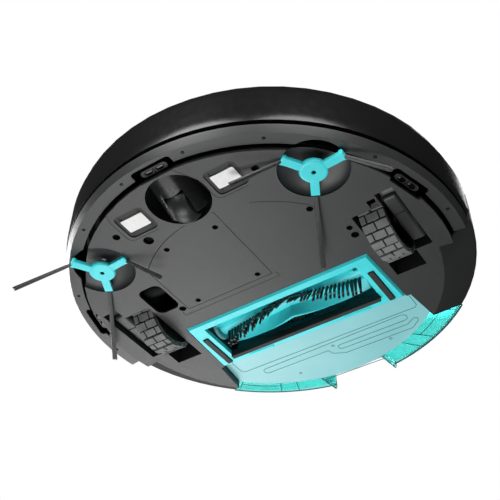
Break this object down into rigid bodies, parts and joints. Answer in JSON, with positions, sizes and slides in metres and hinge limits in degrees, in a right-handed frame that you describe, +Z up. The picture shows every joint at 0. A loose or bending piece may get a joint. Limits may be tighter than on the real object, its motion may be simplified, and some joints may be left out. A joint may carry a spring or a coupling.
{
  "type": "robot vacuum",
  "caption": "Low round robot floor cleaner with sprung bumper, sprung drive wheels, swivel caster, two side brushes, a belt driven main brush and a slide-out dust tank.",
  "frame": {"origin": "on the floor, under the middle of the round body", "axes": "+X is the driving direction, +Y is the machine's left, +Z is up"},
  "size_m": [0.33, 0.33, 0.074],
  "materials": {
    "dark_grey_plastic": "satin, fine grain",
    "gloss_black_plastic": "gloss",
    "matte_black_plastic": "matte",
    "turquoise_plastic": "satin",
    "clear_teal_plastic": "clear, tinted",
    "pale_teal_plastic": "satin",
    "tyre_rubber": "matte",
    "black_rubber": "matte",
    "black_bristle": "nylon bristle",
    "nickel_plate": "polished",
    "steel": "bright",
    "battery_wrap": "satin",
    "board_green": "satin",
    "filter_white": "pleated felt",
    "cover_grey_plastic": "satin"
  },
  "bodies": {
    "chassis_body": {"chassis": "dark_grey_plastic", "top_shell": "gloss_black_plastic", "top_cover": "cover_grey_plastic", "battery_cover": "dark_grey_plastic", "battery_pack": "battery_wrap", "main_board": "board_green", "fan_housing": "matte_black_plastic", "cliff_sensor_front": "matte_black_plastic", "cliff_sensor_left": "matte_black_plastic", "cliff_sensor_right": "matte_black_plastic", "charging_contact_left": "nickel_plate", "charging_contact_right": "nickel_plate", "brush_bearing": "pale_teal_plastic", "brush_motor": "steel", "drive_belt": "black_rubber", "side_brush_motor_left": "steel", "side_brush_motor_right": "steel", "drive_motor_left": "steel", "drive_motor_right": "steel"},
    "button": {"power_button": "turquoise_plastic"},
    "bumper": {"bumper_shell": "gloss_black_plastic", "bumper_ring": "dark_grey_plastic", "bumper_spring_left": "steel", "bumper_spring_right": "steel"},
    "impeller": {"fan_impeller": "cover_grey_plastic"},
    "caster_swivel": {"caster_fork": "matte_black_plastic", "caster_axle": "steel"},
    "caster_roller": {"caster_wheel": "matte_black_plastic"},
    "main_brush": {"brush_roller": "turquoise_plastic", "brush_bristles": "black_bristle", "brush_pulley": "matte_black_plastic"},
    "motor_shaft": {"motor_pulley": "steel"},
    "brush_guard": {"brush_guard_frame": "turquoise_plastic", "guard_strip_left": "black_rubber", "guard_strip_right": "black_rubber", "guard_scraper": "black_rubber"},
    "dust_tank": {"tank_shell": "clear_teal_plastic", "tank_base": "pale_teal_plastic", "tank_filter": "filter_white"},
    "latch": {"tank_latch": "turquoise_plastic"},
    "left_suspension": {"wheel_arm_left": "matte_black_plastic", "suspension_spring_left": "steel"},
    "left_drive_wheel": {"wheel_rim_left": "matte_black_plastic", "tyre_left": "tyre_rubber"},
    "left_side_brush": {"side_brush_hub_left": "turquoise_plastic", "side_brush_screw_left": "steel", "bristle_tuft_left_1": "black_bristle", "bristle_tuft_left_2": "black_bristle", "bristle_tuft_left_3": "black_bristle"},
    "right_suspension": {"wheel_arm_right": "matte_black_plastic", "suspension_spring_right": "steel"},
    "right_drive_wheel": {"wheel_rim_right": "matte_black_plastic", "tyre_right": "tyre_rubber"},
    "right_side_brush": {"side_brush_hub_right": "turquoise_plastic", "side_brush_screw_right": "steel", "bristle_tuft_right_1": "black_bristle", "bristle_tuft_right_2": "black_bristle", "bristle_tuft_right_3": "black_bristle"}
  },
  "joints": [
    {"name": "bumper_press", "type": "slide", "parent": "chassis_body", "child": "bumper", "axis": [-1, 0, 0], "range_m": [0, 0.003], "stiffness_N_per_m": 400, "springref_m": -0.002, "deforming": ["bumper_spring_left", "bumper_spring_right"]},
    {"name": "power_button_press", "type": "slide", "parent": "chassis_body", "child": "button", "axis": [0, 0, -1], "range_m": [0, 0.0008], "stiffness_N_per_m": 1500, "springref_m": -0.0006},
    {"name": "impeller_spin", "type": "hinge", "parent": "chassis_body", "child": "impeller", "pos_m": [0.064, 0.04, 0.033], "axis": [0, 0, 1], "continuous": true},
    {"name": "caster_swivel_turn", "type": "hinge", "parent": "chassis_body", "child": "caster_swivel", "pos_m": [0.122, 0, 0.03], "axis": [0, 0, 1], "continuous": true},
    {"name": "caster_wheel_roll", "type": "hinge", "parent": "caster_swivel", "child": "caster_roller", "pos_m": [0.115, 0, 0.0145], "axis": [0, 1, 0], "continuous": true},
    {"name": "main_brush_spin", "type": "hinge", "parent": "chassis_body", "child": "main_brush", "pos_m": [-0.031, 0, 0.029], "axis": [0, 1, 0], "continuous": true},
    {"name": "motor_shaft_spin", "type": "hinge", "parent": "chassis_body", "child": "motor_shaft", "pos_m": [0.017, 0.079, 0.032], "axis": [0, 1, 0], "continuous": true},
    {"name": "guard_lift_off", "type": "slide", "parent": "chassis_body", "child": "brush_guard", "axis": [0, 0, -1], "range_m": [0, 0.04]},
    {"name": "tank_slide_out", "type": "slide", "parent": "chassis_body", "child": "dust_tank", "axis": [-1, 0, 0], "range_m": [0, 0.12]},
    {"name": "tank_latch_press", "type": "slide", "parent": "dust_tank", "child": "latch", "axis": [1, 0, 0], "range_m": [0, 0.0015], "stiffness_N_per_m": 800, "springref_m": -0.001},
    {"name": "left_suspension_drop", "type": "hinge", "parent": "chassis_body", "child": "left_suspension", "pos_m": [0.045, 0.12575, 0.027], "axis": [0, -1, 0], "range_deg": [0, 24], "stiffness_Nm_per_rad": 0.2, "springref_deg": 51.57, "deforming": ["suspension_spring_left"]},
    {"name": "left_wheel_roll", "type": "hinge", "parent": "left_suspension", "child": "left_drive_wheel", "pos_m": [0.005, 0.107, 0.031], "axis": [0, 1, 0], "continuous": true},
    {"name": "left_side_brush_spin", "type": "hinge", "parent": "chassis_body", "child": "left_side_brush", "pos_m": [0.094, 0.0955, 0.012], "axis": [0, 0, 1], "continuous": true, "deforming": ["bristle_tuft_left_1", "bristle_tuft_left_2", "bristle_tuft_left_3"]},
    {"name": "right_suspension_drop", "type": "hinge", "parent": "chassis_body", "child": "right_suspension", "pos_m": [0.045, -0.12575, 0.027], "axis": [0, -1, 0], "range_deg": [0, 24], "stiffness_Nm_per_rad": 0.2, "springref_deg": 51.57, "deforming": ["suspension_spring_right"]},
    {"name": "right_wheel_roll", "type": "hinge", "parent": "right_suspension", "child": "right_drive_wheel", "pos_m": [0.005, -0.107, 0.031], "axis": [0, 1, 0], "continuous": true},
    {"name": "right_side_brush_spin", "type": "hinge", "parent": "chassis_body", "child": "right_side_brush", "pos_m": [0.094, -0.0955, 0.012], "axis": [0, 0, 1], "continuous": true, "deforming": ["bristle_tuft_right_1", "bristle_tuft_right_2", "bristle_tuft_right_3"]}
  ],
  "couplings": [
    {"joint": "motor_shaft_spin", "follows": "main_brush_spin", "ratio": 1.8}
  ]
}
